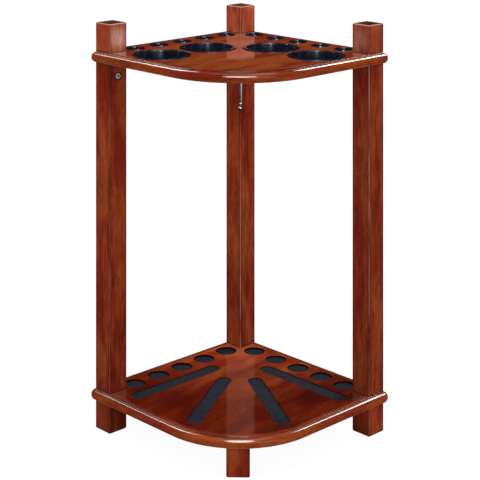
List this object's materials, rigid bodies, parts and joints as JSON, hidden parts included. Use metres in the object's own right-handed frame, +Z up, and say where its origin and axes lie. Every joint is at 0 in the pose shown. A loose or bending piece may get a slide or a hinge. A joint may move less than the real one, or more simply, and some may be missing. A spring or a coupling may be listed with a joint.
{
  "type": "corner floor cue rack",
  "caption": "Free-standing corner rack: stained wood posts and quarter-round shelves with rings for pool cues, drop-in cup holders, felt-lined rests for balls and a hook.",
  "frame": {"origin": "on the floor, in the middle of the shelves' bounding box in plan", "axes": "+Z up; -Y towards the open, rounded front; +X to the right seen from the front; the two straight back edges run at 45 degrees to X, to fit a room's corner behind +Y"},
  "size_m": [0.5554, 0.4916, 0.762],
  "materials": {
    "stained_wood": "mahogany red stain under gloss lacquer",
    "veneer": "mahogany veneer, grain left to right, gloss lacquer",
    "black_plastic": "polished black moulding",
    "felt": "navy-black pressed felt",
    "nickel": "polished nickel plate",
    "zinc": "zinc plate",
    "brass": "plain machined",
    "beech": "bare beech"
  },
  "bodies": {
    "rack": {"back_foot": "stained_wood", "left_foot": "stained_wood", "right_foot": "stained_wood", "front_foot": "stained_wood", "bottom_shelf": "veneer", "bottom_nosing": "stained_wood", "back_post": "stained_wood", "left_post": "stained_wood", "right_post": "stained_wood", "top_shelf": "veneer", "top_nosing": "stained_wood", "back_finial": "stained_wood", "left_finial": "stained_wood", "right_finial": "stained_wood", "cue_rings": "black_plastic", "butt_pads": "felt", "strip_left_outer": "felt", "strip_left_inner": "felt", "strip_right_inner": "felt", "strip_right_outer": "felt", "hook": "nickel", "cam_bolts": "zinc", "foot_bolts": "zinc", "front_foot_bolt": "zinc", "threaded_inserts": "brass", "upper_dowels": "beech", "lower_dowels": "beech", "front_foot_dowel": "beech"},
    "cup_left_outer": {"cup_left_outer": "black_plastic"},
    "cup_left_inner": {"cup_left_inner": "black_plastic"},
    "cup_right_inner": {"cup_right_inner": "black_plastic"},
    "cup_right_outer": {"cup_right_outer": "black_plastic"},
    "back_cam": {"back_cam": "zinc"},
    "left_cam": {"left_cam": "zinc"},
    "right_cam": {"right_cam": "zinc"}
  },
  "joints": [
    {"name": "cup_left_outer_lift", "type": "slide", "parent": "rack", "child": "cup_left_outer", "axis": [0, 0, 1], "range_m": [0, 0.05]},
    {"name": "cup_left_inner_lift", "type": "slide", "parent": "rack", "child": "cup_left_inner", "axis": [0, 0, 1], "range_m": [0, 0.05]},
    {"name": "cup_right_inner_lift", "type": "slide", "parent": "rack", "child": "cup_right_inner", "axis": [0, 0, 1], "range_m": [0, 0.05]},
    {"name": "cup_right_outer_lift", "type": "slide", "parent": "rack", "child": "cup_right_outer", "axis": [0, 0, 1], "range_m": [0, 0.05]},
    {"name": "back_cam_turn", "type": "hinge", "parent": "rack", "child": "back_cam", "pos_m": [0.00612, 0.21464, 0.6635], "axis": [0.7071, 0.7071, 0], "range_deg": [0, 180]},
    {"name": "left_cam_turn", "type": "hinge", "parent": "rack", "child": "left_cam", "pos_m": [-0.2343, -0.03801, 0.6635], "axis": [0.7071, -0.7071, 0], "range_deg": [0, 180]},
    {"name": "right_cam_turn", "type": "hinge", "parent": "rack", "child": "right_cam", "pos_m": [0.24653, -0.02578, 0.6635], "axis": [0.7071, 0.7071, 0], "range_deg": [0, 180]}
  ]
}
